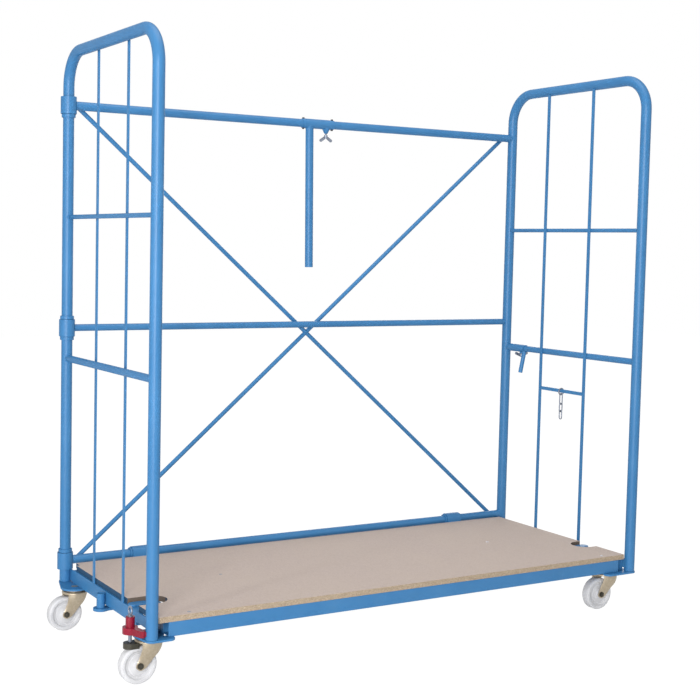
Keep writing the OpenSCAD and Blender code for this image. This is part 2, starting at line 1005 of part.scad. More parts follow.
module stop_arm() {
    color(blue) place()
        difference() {
            union() {
                translate([arm_left, uy, arm_z])
                    rod_x(arm_sleeve_d, arm_sleeve_l);
                translate([arm_x, uy, arm_z])
                    rotate([0, 180 - arm_lean, 0])
                        cylinder(d = arm_d, h = arm_l);
                translate([wing_x, uy, wing_low])
                    cylinder(r1 = 5.5, r2 = 13, h = wing_nut_h + 1);
                translate([wing_x, uy, wing_low + wing_nut_h])
                    cylinder(r = 12, h = arm_sleeve_d / 2);
            }
            translate([arm_x, uy, arm_z])
                rotate([0, 180 - arm_lean, 0])
                    translate([0, 0, 1])
                        cylinder(d = arm_d - 2 * rail_t, h = arm_l);
            translate([wing_x, uy, wing_low - 1])
                cylinder(d = 6 + 2 * run_gap, h = arm_z - wing_low);
            translate([arm_left - 1, uy, arm_z])
                rod_x(rail_d + 2 * run_gap, arm_sleeve_l + 2);
        }
}

// Wing screw with its wings root below low, rising by rise at their tips
module winged(low, top, d, root, span, rise) {
    translate([0, 0, low])
        cylinder(d = d, h = top - low);
    translate([0, 0, low - 10])
        cylinder(d = 12, h = 11);
    translate([0, 2, low - root])
        rotate([90, 0, 0])
            linear_extrude(4) {
                slab2([0, 0], 4.6, [-span, rise], 5);
                slab2([0, 0], 4.6, [span, rise], 5);
            }
}

module wing_screw() {
    color(steel) place()
        translate([wing_x, uy, 0])
            winged(wing_low - 6, arm_z - rail_r - seat, 6, 4, 19, -13);
}

module arm_collars() {
    color(blue) place()
        difference() {
            union() {
                rail_ring(arm_left - end_gap - collar_l, arm_z, collar_d, collar_l);
                rail_ring(arm_right + end_gap, arm_z, collar_d, collar_l);
            }
            for (x = collar_pins)
                translate([x, uy, arm_z - collar_d])
                    cylinder(d = collar_pin_d + 2 * seat, h = 2 * collar_d);
        }
}

module collar_screws() {
    color(dark) place()
        for (x = collar_pins)
            for (turn = [0, 180])
                translate([x, uy, arm_z])
                    rotate([turn, 0, 0])
                        translate([0, 0, rail_r + seat])
                            cylinder(d = collar_pin_d, h = collar_pin_out - seat);
}

// Side clamp on the lower tube of the right gate

module side_clamp() {
    color(blue) place()
        difference() {
            union() {
                translate([gx, clamp_y, lower_tube_z])
                    rod_y(clamp_d, clamp_l);
                translate([gx, peg_y, lower_tube_z])
                    rotate([0, 180 + peg_lean, 0])
                        cylinder(d = peg_d, h = peg_l);
                translate([gx, clamp_screw_y, lower_tube_z - clamp_d / 2 - clamp_nut_h])
                    cylinder(d = 14, h = clamp_d / 2 + clamp_nut_h);
            }
            translate([gx, clamp_y - peg_d, lower_tube_z])
                rod_y(lower_tube_d + 2 * run_gap, clamp_l + 2 * peg_d);
            translate([gx, clamp_screw_y, lower_tube_z - clamp_d])
                cylinder(d = 6 + 2 * seat, h = clamp_d);
        }
}

module clamp_screw() {
    color(steel) place()
        translate([gx, clamp_screw_y, 0])
            winged(
                lower_tube_z - clamp_d / 2 - clamp_nut_h - 1.3, lower_tube_z - lower_tube_d / 2 - seat, 6, 8, 24, 10
            );
}

// Chain

module chain_loop(z, len, w, turned) {
    r = (w - wire_d) / 2;
    rotate([0, 0, turned]) {
        for (side = [-1, 1])
            translate([side * r, 0, z - len + r])
                cylinder(d = wire_d, h = len - 2 * r);
        translate([0, 0, z - r])
            rotate([90, 0, 0])
                rotate_extrude(angle = 180)
                    translate([r, 0])
                        circle(d = wire_d);
        translate([0, 0, z - len + r])
            rotate([90, 180, 0])
                rotate_extrude(angle = 180)
                    translate([r, 0])
                        circle(d = wire_d);
    }
}

module chain_ring() {
    color(steel) place()
        translate([chain_x, chain_y, ring_z])
            rotate([90, 0, 0])
                rotate_extrude()
                    translate([ring_r, 0])
                        circle(d = ring_wire);
}

module chain_link_a() {
    color(steel) place()
        translate([chain_x, chain_y, 0])
            chain_loop(link_a_z, chain_a, link_w, 90);
}

module chain_link_b() {
    color(steel) place()
        translate([chain_x, chain_y, 0])
            chain_loop(link_b_z, chain_b, link_w - 1, 0);
}

module chain_link_c() {
    color(steel) place()
        translate([chain_x, chain_y, 0])
            chain_loop(link_c_z, chain_b, link_w - 1, 90);
}

// Coupling post and direction lock

module coupling_plate() {
    inner_x = -gx + beam_in + beam_w;
    color(blue) place() {
        translate([0, 0, post_z - post_plate_t])
            linear_extrude(post_plate_t)
                difference() {
                    union() {
                        slab2([post_x, post_y], post_plate_r, [inner_x - post_tab_w / 2, post_y], post_tab_w / 2);
                        translate([post_x, post_y - post_tab_w / 2])
                            square([inner_x - post_x, post_tab_w]);
                    }
                    translate([post_x, post_y])
                        circle(d = post_bore);
                }
        translate([inner_x - post_tab_t, post_y - post_tab_w / 2, post_z - 1])
            cube([post_tab_t, post_tab_w, post_drop + 1 - seat]);
    }
}

module coupling_post() {
    color(blue) place()
        translate([post_x, post_y, post_z])
            tube(post_d, post_bore, post_h);
}

module lock_housing() {
    elbow = [-gx - tube_r - 8, -uy + 4];
    color(red) place()
        difference() {
            union() {
                translate([lock_x, lock_y, lock_low])
                    cylinder(d = lock_foot_d, h = lock_foot_h);
                translate([lock_x, lock_y, lock_low])
                    cylinder(d = lock_tube_d, h = lock_h);
                translate([0, 0, lock_low])
                    linear_extrude(lock_foot_h)
                        slab2([lock_x, lock_y], 12, elbow, 8);
                translate([0, 0, lock_low + 3])
                    linear_extrude(lock_foot_h - 6)
                        slab2(elbow, 6, [-gx - 10, -uy], 5);
            }
            upright_clear(-gx);
            translate([lock_x, lock_y, lock_low - 1])
                cylinder(d = lock_pin_d + 2 * run_gap, h = lock_h + 2);
        }
}

module lock_pin() {
    top = lock_low + lock_h + seat;
    color(steel) place()
        translate([lock_x, lock_y, 0]) {
            translate([0, 0, lock_z + crown_t + 2])
                cylinder(d = lock_pin_d, h = top + 6 - lock_z - crown_t - 2);
            translate([0, 0, top])
                cylinder(d = lock_pin_d + 5, h = 3);
            translate([0, 0, top + 15])
                rotate([90, 0, 90])
                    rotate_extrude()
                        translate([11, 0])
                            circle(d = 5);
        }
}

// Plate round the fork crown of the front left castor, drilled under the lock pin
module lock_plate() {
    root = [-crown_r + 6, 0];
    tip = [-lock_out, 0];
    color(dark) place()
        translate([castor_fl[0], castor_fl[1], 0])
            difference() {
                union() {
                    translate([0, 0, lock_z])
                        linear_extrude(crown_t)
                            slab2(root, lock_plate_r, tip, lock_plate_r);
                    translate([0, 0, lock_z + crown_t - lock_rim_h])
                        linear_extrude(lock_rim_h - crown_t + 1)
                            difference() {
                                slab2(root, lock_plate_r, tip, lock_plate_r);
                                slab2(root, lock_plate_r - 3, tip, lock_plate_r - 3);
                            }
                }
                translate([0, 0, lock_z + crown_t - lock_rim_h - 1])
                    cylinder(r = crown_r + seat, h = lock_rim_h + 2);
                translate([-lock_out, 0, lock_z - 20])
                    cylinder(r = lock_pin_d / 2 + 0.5, h = 40);
            }
}

right_hoop();
right_bars();
right_upper_rod();
right_lower_tube();
right_base_beam();
right_lug();
right_foot_plates();
right_castor_heads();
crossbar();
chain_ring();
back_top_rail();
back_mid_rail();
back_lower_rail();
brace_long();
brace_halves();
pivot_sleeves();
pivot_bushes();
deck_stop_rings();
arm_collars();
collar_screws();
left_hoop();
left_bars();
left_upper_rod();
left_lower_tube();
left_base_beam();
left_lug();
foot_plate_fl();
foot_plate_rl();
left_castor_heads();
gate_stop_rings();
coupling_plate();
coupling_post();
lock_housing();
lock_pin();
lock_plate();
deck_board();
deck_front_beam();
deck_underframe();
deck_sleeves();
deck_screws();
stop_arm();
wing_screw();
side_clamp();
clamp_screw();
chain_link_a();
chain_link_b();
chain_link_c();
fork_fl();
fork_rl();
fork_fr();
fork_rr();
wheel_fl();
wheel_rl();
wheel_fr();
wheel_rr();
axle_fl();
axle_rl();
axle_fr();
axle_rr();
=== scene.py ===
"""Looks of the furniture roll container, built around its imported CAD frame."""
import json
import math

import bmesh
import bpy
from mathutils import Matrix, Vector


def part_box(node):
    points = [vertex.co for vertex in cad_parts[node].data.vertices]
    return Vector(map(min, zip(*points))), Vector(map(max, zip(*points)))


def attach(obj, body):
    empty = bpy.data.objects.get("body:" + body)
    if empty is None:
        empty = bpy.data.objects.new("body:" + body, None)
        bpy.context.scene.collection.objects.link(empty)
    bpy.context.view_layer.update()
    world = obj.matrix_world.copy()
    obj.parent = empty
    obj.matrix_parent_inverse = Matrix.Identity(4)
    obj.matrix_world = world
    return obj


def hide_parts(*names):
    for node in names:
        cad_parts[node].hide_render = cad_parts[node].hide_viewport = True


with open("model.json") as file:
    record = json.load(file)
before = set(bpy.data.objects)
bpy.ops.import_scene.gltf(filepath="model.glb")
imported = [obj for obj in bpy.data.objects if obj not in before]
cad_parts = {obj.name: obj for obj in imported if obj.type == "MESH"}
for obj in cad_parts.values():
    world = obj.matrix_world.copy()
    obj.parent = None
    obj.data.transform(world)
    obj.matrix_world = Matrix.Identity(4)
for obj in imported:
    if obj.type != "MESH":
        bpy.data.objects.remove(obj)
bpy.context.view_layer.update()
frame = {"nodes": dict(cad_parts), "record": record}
NODES = frame["nodes"]
RECORD = frame["record"]
BODY_OF = {n: b for b, ns in RECORD["behaviour"]["bodies"].items() for n in ns}
SLOT_OF = {p["node"]: p["material_slot"] for p in RECORD["subparts"]}
MM = 0.001
SHARP = math.radians(35)
BLACK = (0, 0, 0)

# Materials


class Paint:
    """A node material built step by step."""

    def __init__(self, name):
        self.mat = bpy.data.materials.new(name)
        self.mat.use_nodes = True
        self.nodes = self.mat.node_tree.nodes
        self.links = self.mat.node_tree.links
        self.bsdf = self.nodes["Principled BSDF"]
        coords = self.nodes.new("ShaderNodeTexCoord")
        self.place = coords.outputs["Object"]
        self.generated = coords.outputs["Generated"]

    def set(self, **values):
        for key, value in values.items():
            self.bsdf.inputs[key.replace("_", " ")].default_value = value

    def node(self, kind, **inputs):
        made = self.nodes.new(kind)
        for key, value in inputs.items():
            slot = made.inputs[key.replace("_", " ")]
            if isinstance(value, bpy.types.NodeSocket):
                self.links.new(value, slot)
            else:
                slot.default_value = value
        return made

    def stretched(self, stretch):
        if not stretch:
            return self.place
        return self.node("ShaderNodeMapping", Vector=self.place, Scale=stretch).outputs["Vector"]

    def noise(self, scale, detail=4.0, roughness=0.55, stretch=None):
        return self.node("ShaderNodeTexNoise", Vector=self.stretched(stretch), Scale=scale, Detail=detail,
                         Roughness=roughness).outputs["Fac"]

    def cells(self, scale, stretch=None, out="Distance"):
        return self.node("ShaderNodeTexVoronoi", Vector=self.stretched(stretch), Scale=scale).outputs[out]

    def ramp(self, fac, stops):
        made = self.node("ShaderNodeValToRGB", Fac=fac)
        band = made.color_ramp
        while len(band.elements) < len(stops):
            band.elements.new(0.5)
        for element, (at, colour) in zip(band.elements, stops):
            element.position = at
            element.color = (*colour, 1)
        return made.outputs["Color"]

    def span(self, value, low, high):
        return self.node("ShaderNodeMapRange", Value=value, To_Min=low, To_Max=high).outputs["Result"]

    def mix(self, fac, a, b, blend="MIX"):
        made = self.nodes.new("ShaderNodeMix")
        made.data_type = "RGBA"
        made.blend_type = blend
        for slot, value in ((0, fac), (6, a), (7, b)):
            if isinstance(value, bpy.types.NodeSocket):
                self.links.new(value, made.inputs[slot])
            else:
                made.inputs[slot].default_value = value if slot == 0 else (*value, 1)
        return made.outputs[2]

    def colour(self, socket):
        self.links.new(socket, self.bsdf.inputs["Base Color"])

    def gloss(self, level):
        """Specular level that fades towards the rim of round tubes."""
        rim = self.node("ShaderNodeLayerWeight", Blend=0.5).outputs["Facing"]
        fade = self.node("ShaderNodeMapRange", Value=rim, From_Min=0.3, From_Max=0.75,
                         To_Min=level, To_Max=0.04)
        self.links.new(fade.outputs["Result"], self.bsdf.inputs["Specular IOR Level"])

    def rough(self, socket):
        self.links.new(socket, self.bsdf.inputs["Roughness"])

    def bump(self, height, strength, distance):
        made = self.node("ShaderNodeBump", Height=height, Strength=strength, Distance=distance)
        self.links.new(made.outputs["Normal"], self.bsdf.inputs["Normal"])

    def mask(self, fac, start, end, level=1.0):
        """0 up to start and level from end on."""
        return self.ramp(fac, [(start, BLACK), (end, (level, level, level))])


def blue_paint():
    p = Paint("blue_paint")
    p.gloss(0.3)
    cloud = p.noise(6.0, 3.0)
    base = p.ramp(cloud, [(0.3, (0.038, 0.172, 0.380)), (0.7, (0.048, 0.196, 0.418))])
    scuff = p.noise(60.0, 6.0, 0.7, (1, 1, 0.25))
    worn = p.mix(p.mask(scuff, 0.62, 0.8, 0.2), base, (0.13, 0.34, 0.62))
    dust = p.noise(14.0, 6.0, 0.65)
    p.colour(p.mix(p.mask(dust, 0.5, 0.8, 0.18), worn, (0.10, 0.22, 0.36)))
    p.rough(p.span(p.noise(35.0, 4.0), 0.30, 0.40))
    p.bump(p.noise(420.0, 2.0), 0.12, 0.0004)
    return p.mat


def zinc(name, low, high, rough, metal=1.0):
    p = Paint(name)
    p.set(Metallic=metal)
    p.colour(p.ramp(p.noise(150.0, 6.0, 0.65), [(0.35, low), (0.65, high)]))
    p.rough(p.span(p.noise(80.0, 5.0), rough - 0.08, rough + 0.08))
    p.bump(p.noise(500.0, 3.0), 0.1, 0.0003)
    return p.mat


def plain_coat(name, low, high, rough, grain=200.0, strength=0.15, gloss=0.5):
    p = Paint(name)
    p.set(Specular_IOR_Level=gloss)
    p.colour(p.ramp(p.noise(25.0, 5.0), [(0.35, low), (0.65, high)]))
    p.rough(p.span(p.noise(60.0, 4.0), rough - 0.07, rough + 0.07))
    p.bump(p.noise(grain, 3.0), strength, 0.0004)
    return p.mat


def particle_board():
    """Sanded top face with fine specks, chips on the sawn edges, painted shade on the edges behind the front
    one, such as the notch walls, and the dark blue of blue paint in shade on the two end faces at the gates,
    which is painted shade.
    """
    p = Paint("particle_board")
    p.set(Specular_IOR_Level=0.2)
    fine = p.noise(240.0, 8.0, 0.75)
    cloud = p.noise(4.0, 4.0)
    face = p.ramp(fine, [(0.36, (0.50, 0.405, 0.36)), (0.64, (0.62, 0.52, 0.47))])
    chips = p.ramp(p.cells(170.0, stretch=(1, 0.7, 3), out="Color"),
                   [(0.1, (0.44, 0.35, 0.29)), (0.5, (0.58, 0.48, 0.42)), (0.9, (0.68, 0.58, 0.50))])
    top = p.mix(0.15, face, chips)
    top = p.mix(p.mask(cloud, 0.35, 0.7, 0.35), top, (0.60, 0.50, 0.42))
    knots = p.cells(9.0, stretch=(0.8, 1.1, 1))
    top = p.mix(p.ramp(knots, [(0.012, (0.4, 0.4, 0.4)), (0.03, BLACK)]), top, (0.33, 0.25, 0.19))
    edge = p.ramp(p.cells(760.0, stretch=(0.45, 0.45, 1.2), out="Color"),
                  [(0.05, (0.26, 0.19, 0.12)), (0.45, (0.42, 0.325, 0.23)), (0.85, (0.56, 0.46, 0.34))])
    edge = p.mix(p.mask(p.noise(300.0, 8.0, 0.8), 0.42, 0.62, 0.85), edge, (0.33, 0.26, 0.19))
    # Edges behind the front edge, such as the notch walls and the back edge, are painted darker: painted
    # shade.
    shade_depth = p.node("ShaderNodeSeparateXYZ", Vector=p.generated)
    edge = p.mix(p.mask(shade_depth.outputs["Y"], 0.01, 0.03), edge, (0.15, 0.115, 0.09))
    geo = p.node("ShaderNodeNewGeometry")
    turned = p.node("ShaderNodeSeparateXYZ", Vector=geo.outputs["True Normal"])
    flat = []
    for axis in ("Z", "X"):
        size = p.node("ShaderNodeMath")
        size.operation = "ABSOLUTE"
        p.links.new(turned.outputs[axis], size.inputs[0])
        flat.append(size.outputs[0])
    # The two end faces at the gates are coloured the dark blue of blue paint in shade: painted shade.
    shaded_blue_ends = p.mix(p.mask(flat[1], 0.993, 0.999), edge, (0.022, 0.07, 0.14))
    p.colour(p.mix(p.mask(flat[0], 0.5, 0.8), shaded_blue_ends, top))
    p.rough(p.span(fine, 0.72, 0.9))
    p.bump(p.cells(260.0, stretch=(0.55, 0.55, 1.6)), 0.3, 0.0008)
    return p.mat


MATERIALS = {
    "blue_paint": blue_paint(),
    "zinc": zinc("zinc", (0.15, 0.17, 0.22), (0.26, 0.29, 0.35), 0.34, 0.6),
    "gold_zinc": zinc("gold_zinc", (0.36, 0.30, 0.215), (0.44, 0.375, 0.28), 0.38, 0.7),
    "black": plain_coat("black", (0.012, 0.012, 0.013), (0.03, 0.03, 0.032), 0.5),
    "dark_steel": plain_coat("dark_steel", (0.030, 0.027, 0.018), (0.050, 0.046, 0.034), 0.45, gloss=0.3),
    "white_nylon": plain_coat("white_nylon", (0.58, 0.58, 0.595), (0.66, 0.66, 0.675), 0.5, 120.0, 0.1, 0.2),
    "red_paint": plain_coat("red_paint", (0.20, 0.005, 0.020), (0.26, 0.008, 0.028), 0.3, gloss=0.3),
    "particle_board": particle_board(),
}

# Dressing of the CAD nodes: each one is copied, its edges are rounded, and the copy stands for it


def dress(node, edge):
    """Shown copy of a CAD node with rounded edges. It rides on the node's body and replaces the node."""
    source = NODES[node]
    mesh = source.data.copy()
    mesh.materials.clear()
    piece = bpy.data.objects.new("look_" + node, mesh)
    bpy.context.scene.collection.objects.link(piece)
    bm = bmesh.new()
    bm.from_mesh(mesh)
    bmesh.ops.remove_doubles(bm, verts=bm.verts, dist=0.00001)
    bmesh.ops.dissolve_limit(bm, angle_limit=math.radians(0.5), verts=bm.verts, edges=bm.edges)
    bm.to_mesh(mesh)
    bm.free()
    bevel = round_edges(piece, edge, SHARP)
    bevel.harden_normals = True
    finish_piece(piece, BODY_OF[node], SLOT_OF[node])
    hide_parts(node)


def round_edges(piece, width, angle):
    bevel = piece.modifiers.new("edge", "BEVEL")
    bevel.width = width
    bevel.segments = 2
    bevel.limit_method = "ANGLE"
    bevel.angle_limit = angle
    return bevel


def finish_piece(piece, body, slot):
    """Smooth shading, the material of the given slot, and the body of a piece."""
    for face in piece.data.polygons:
        face.use_smooth = True
    piece.data.set_sharp_from_angle(angle=SHARP)
    piece.data.materials.append(MATERIALS[slot])
    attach(piece, body)


for name, obj in NODES.items():
    obj.data.materials.clear()
    obj.data.materials.append(MATERIALS[SLOT_OF[name]])


def new_piece(name, bm):
    mesh = bpy.data.meshes.new(name)
    bm.to_mesh(mesh)
    bm.free()
    piece = bpy.data.objects.new(name, mesh)
    bpy.context.scene.collection.objects.link(piece)
    return piece


def revolve(bm, profile, centre, axis, steps):
    """Closed ring of (radius, height) points turned about an axis through centre."""
    place = Vector((0, 0, 1)).rotation_difference(Vector(axis)).to_matrix()
    rings = []
    for step in range(steps):
        angle = 2 * math.pi * step / steps
        points = [Vector((r * math.cos(angle), r * math.sin(angle), h)) for r, h in profile]
        rings.append([bm.verts.new(Vector(centre) + place @ point) for point in points])
    for step, ring in enumerate(rings):
        after = rings[(step + 1) % steps]
        for k in range(len(profile)):
            m = (k + 1) % len(profile)
            bm.faces.new((ring[k], after[k], after[m], ring[m]))


def middle_of(node):
    low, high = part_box(node)
    return (Vector(low) + Vector(high)) / 2


# Castors: pressed forks with a round crown and curved legs, and wheels with moulded rings

CROWN_R = 38 * MM
CROWN_TOP = 120 * MM
CROWN_RIM = 112 * MM
CROWN_BORE = 8.1 * MM
CROWN_T = 5 * MM
LEG_T = 3 * MM
LEG_Y = 20 * MM
LEG_TOP = 118
LEG_FALL = 78.5
LEG_FLAT_Z = 52 * MM
LEG_CURVE_H = 56 * MM
# (z, x) of the left and right edges of a leg, in millimetres
LEG_LEFT = [(LEG_TOP, -27), (100, -27), (85, -30), (66, -36), (59, -40), (54, -43.5), (48, -43.5), (43, -40),
            (39.5, -34)]
LEG_RIGHT = [(LEG_TOP, 29), (112, 28), (100, 22), (87, 14), (79, 7.5), (71, 2.5), (60, -3.5), (52, -9.5),
             (45, -15.5), (39.5, -28)]


def along(table, z):
    """Value of a (z, x) table at z, in metres."""
    for (z0, x0), (z1, x1) in zip(table, table[1:]):
        if z1 * MM <= z <= z0 * MM:
            t = (z - z1 * MM) / ((z0 - z1) * MM)
            return (x1 + (x0 - x1) * t) * MM
    return table[-1][1] * MM


def leg(bm, centre, side):
    """One leg's outer face: flat at the axle, and round like the crown at its top."""
    rows, cols = 34, 12
    grid = []
    for row in range(rows + 1):
        z = (LEG_TOP - LEG_FALL * (row / rows) ** 0.9) * MM
        left, right = along(LEG_LEFT, z), along(LEG_RIGHT, z)
        share = min(max((z - LEG_FLAT_Z) / LEG_CURVE_H, 0), 1)
        share = share * share * (3 - 2 * share)
        line = []
        for col in range(cols + 1):
            x = left + (right - left) * col / cols
            out = (1 - share) * LEG_Y + share * math.sqrt(max((CROWN_R - 0.0002) ** 2 - x * x, 0))
            line.append(bm.verts.new((centre[0] + x, centre[1] + side * out, z)))
        grid.append(line)
    for above, below in zip(grid, grid[1:]):
        for col in range(cols):
            quad = (above[col], above[col + 1], below[col + 1], below[col])
            bm.faces.new(quad if side < 0 else quad[::-1])


def pressed_fork(node):
    """Two curved legs and a crown with a turned-down rim, in place of the plain fork."""
    low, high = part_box(node)
    centre = Vector((high[0] - CROWN_R, (low[1] + high[1]) / 2, 0))
    bm = bmesh.new()
    leg(bm, centre, -1)
    leg(bm, centre, 1)
    legs = new_piece("legs_" + node, bm)
    shell = legs.modifiers.new("sheet", "SOLIDIFY")
    shell.thickness = LEG_T
    shell.offset = -1
    round_edges(legs, 0.6 * MM, math.radians(50))
    finish_piece(legs, BODY_OF[node], SLOT_OF[node])
    bm = bmesh.new()
    inside = CROWN_R - LEG_T
    under = CROWN_TOP - CROWN_T
    profile = [(CROWN_BORE, under), (inside - 0.2 * MM, under), (inside, under - 0.8 * MM),
               (inside, CROWN_RIM), (CROWN_R - 0.4 * MM, CROWN_RIM), (CROWN_R, CROWN_RIM + 0.5 * MM),
               (CROWN_R, CROWN_TOP - 4.2 * MM), (CROWN_R - 0.6 * MM, CROWN_TOP - 2.1 * MM),
               (CROWN_R - 2.2 * MM, CROWN_TOP - 0.6 * MM), (CROWN_R - 4.2 * MM, CROWN_TOP),
               (CROWN_BORE, CROWN_TOP)]
    revolve(bm, profile, centre, (0, 0, 1), 64)
    crown = new_piece("crown_" + node, bm)
    bmesh_outward(crown)
    finish_piece(crown, BODY_OF[node], SLOT_OF[node])
    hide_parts(node)
    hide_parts(node)


def bmesh_outward(piece):
    """Turn all faces of a closed piece outward."""
    bm = bmesh.new()
    bm.from_mesh(piece.data)
    bmesh.ops.recalc_face_normals(bm, faces=bm.faces)
    bm.to_mesh(piece.data)
    bm.free()


# (radius, half width) round the section of a wheel, in millimetres
WHEEL_HALF = [(6.08, 16.5), (11.6, 16.5), (12.6, 15.9), (13.2, 14.5), (13.6, 11.4), (14.8, 10.6), (27, 10.2),
              (28, 9.4), (31, 9.2), (32, 10.2), (36.5, 10.6), (38.2, 11.6), (39.6, 14.2), (41, 15),
              (47.2, 15), (48.6, 14.7), (50.2, 13.4), (51.4, 11.6), (52, 9.4), (52, 3.2)]


def moulded_wheel(node):
    centre = middle_of(node)
    half = [(r * MM, h * MM) for r, h in WHEEL_HALF]
    profile = half + [(r, -h) for r, h in reversed(half)]
    bm = bmesh.new()
    revolve(bm, profile, centre, (0, 1, 0), 96)
    wheel = new_piece("rim_" + node, bm)
    bmesh_outward(wheel)
    finish_piece(wheel, BODY_OF[node], SLOT_OF[node])
    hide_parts(node)


# (radius, distance back from the axle's end) of the washer and the stud end, in millimetres
WASHER = [(5, 8.6), (10.4, 8.6), (11, 8.2), (11, 7.5), (10.4, 7.1), (5, 7.1)]
STUD_END = [(0.02, 1.8), (5.2, 1.8), (5.2, 0.9), (3.4, 0), (0.02, 0)]
NUT_R = 9.4 * MM
NUT_H = 5.6 * MM
NUT_BACK = 4.4 * MM
NUT_EDGE = 0.9 * MM
SHAFT_R = 6 * MM
SHAFT_BACK = 8.6 * MM
SHAFT_CORE = 0.4 * MM


def nut_ends(node):
    """Axle with a washer, a hexagon nut and a rounded stud end on each side."""
    low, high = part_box(node)
    centre = middle_of(node)
    reach = (high[1] - low[1]) / 2
    bm = bmesh.new()
    shaft = reach - SHAFT_BACK
    for side in (1, -1):
        place = Matrix.Rotation(-side * math.pi / 2, 4, "X")
        place.translation = centre
        made = bmesh.ops.create_cone(bm, cap_ends=True, segments=6, radius1=NUT_R, radius2=NUT_R, depth=NUT_H)
        bmesh.ops.translate(bm, verts=made["verts"], vec=(0, 0, reach - NUT_BACK))
        bmesh.ops.transform(bm, matrix=place, verts=made["verts"])
        nut_verts = set(made["verts"])
        rounded = [e for e in bm.edges if all(v in nut_verts for v in e.verts)]
        bmesh.ops.bevel(bm, geom=rounded, offset=NUT_EDGE, segments=2, affect="EDGES")
        for section, steps in ((STUD_END, 20), (WASHER, 32)):
            revolve(bm, [(r * MM, reach - back * MM) for r, back in section], centre, (0, side, 0), steps)
    rod = [(SHAFT_CORE, -shaft), (SHAFT_R, -shaft), (SHAFT_R, shaft), (SHAFT_CORE, shaft)]
    revolve(bm, rod, centre, (0, 1, 0), 24)
    axle = new_piece("nuts_" + node, bm)
    bmesh_outward(axle)
    finish_piece(axle, BODY_OF[node], "dark_steel")
    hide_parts(node)


for end in ("fl", "rl", "fr", "rr"):
    pressed_fork("fork_" + end)
    moulded_wheel("wheel_" + end)
    nut_ends("axle_" + end)

# Weld beads where bars, rails and uprights meet


def bead(bm, middle, along, up, r, big, width):
    """Scalloped bead round a bar of radius r that meets a tube of radius big. The bar runs along `along`."""
    middle, along, up = Vector(middle), Vector(along), Vector(up)
    across = along.cross(up)
    steps, sides = 56, 8
    path = []
    for k in range(steps):
        t = 2 * math.pi * k / steps
        a, b = r * math.cos(t), r * math.sin(t)
        depth = math.sqrt(big * big - a * a)
        path.append(middle + along * depth + across * a + up * b)
    rings = []
    for k, at in enumerate(path):
        tangent = (path[(k + 1) % steps] - path[k - 1]).normalized()
        out = (at - middle - along * (at - middle).dot(along)).normalized()
        side = tangent.cross(out).normalized()
        w = width * (1 + 0.16 * math.sin(14 * 2 * math.pi * k / steps))
        rings.append([bm.verts.new(at + out * (w * math.cos(2 * math.pi * m / sides))
                                   + side * (w * math.sin(2 * math.pi * m / sides))) for m in range(sides)])
    for k, ring in enumerate(rings):
        after = rings[(k + 1) % steps]
        for m in range(sides):
            n = (m + 1) % sides
            bm.faces.new((ring[m], after[m], after[n], ring[n]))


def finish_welds(bm, body):
    piece = new_piece("welds_" + body, bm)
    bmesh_outward(piece)
    finish_piece(piece, body, "blue_paint")


def bar_level(node):
    """Radius and height of a level bar."""
    low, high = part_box(node)
    return (high[2] - low[2]) / 2, (high[2] + low[2]) / 2


UPRIGHT_R = 16.85 * MM
RAIL_R = 13.45 * MM
BEAD = 1.7 * MM
for gate, body in (("left", "left_gate"), ("right", "frame")):
    bm = bmesh.new()
    low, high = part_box(gate + "_hoop")
    column_x = (low[0] + high[0]) / 2
    front_y, rear_y = low[1] + UPRIGHT_R, high[1] - UPRIGHT_R
    for node in (gate + "_upper_rod", gate + "_lower_tube"):
        r, z = bar_level(node)
        bead(bm, (column_x, front_y, z), (0, 1, 0), (0, 0, 1), r, UPRIGHT_R, BEAD)
        bead(bm, (column_x, rear_y, z), (0, -1, 0), (0, 0, 1), r, UPRIGHT_R, BEAD)
    if gate == "right":
        for node in ("back_top_rail", "back_mid_rail", "back_lower_rail"):
            r, z = bar_level(node)
            bead(bm, (column_x, rear_y, z), (-1, 0, 0), (0, 0, 1), r, UPRIGHT_R, BEAD)
    finish_welds(bm, body)

bm = bmesh.new()
low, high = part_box("stop_arm")
rail = middle_of("back_top_rail")
sleeve_r = (high[1] - low[1]) / 2
WING_HALF = 24 * MM
WING_OFF = 64.5 * MM
arm_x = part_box("wing_screw")[0][0] + WING_HALF - WING_OFF
bead(bm, (arm_x, rail.y, rail.z), (0, 0, -1), (1, 0, 0), RAIL_R, sleeve_r, BEAD)
finish_welds(bm, "stop_arm")

# Width of the rounded edges, in millimetres
EDGES = {
    "deck_board": 0.6, "deck_front_beam": 3, "deck_underframe": 1.5, "left_base_beam": 1.2,
    "right_base_beam": 1.2, "lock_housing": 1.8, "lock_plate": 1.2, "foot_plate_fl": 1, "foot_plate_rl": 1,
    "right_foot_plates": 1, "coupling_plate": 1.2, "coupling_post": 0.6, "left_bars": 0.5, "right_bars": 0.5,
    "crossbar": 0.5, "pivot_sleeves": 0.8, "gate_stop_rings": 0.8, "left_lug": 0.8, "right_lug": 0.8,
    "wing_screw": 1.4, "clamp_screw": 1.4, "deck_sleeves": 0.8, "arm_collars": 0.6, "deck_stop_rings": 0.6,
    "side_clamp": 0.8, "stop_arm": 0.6, "deck_screws": 0.4, "collar_screws": 0.8,
}
for name, edge in EDGES.items():
    dress(name, edge * MM)

# The board is flat shaded, because its screw holes would tilt the normals of its large top face
for face in bpy.data.objects["look_deck_board"].data.polygons:
    face.use_smooth = False

# Floor, light and camera


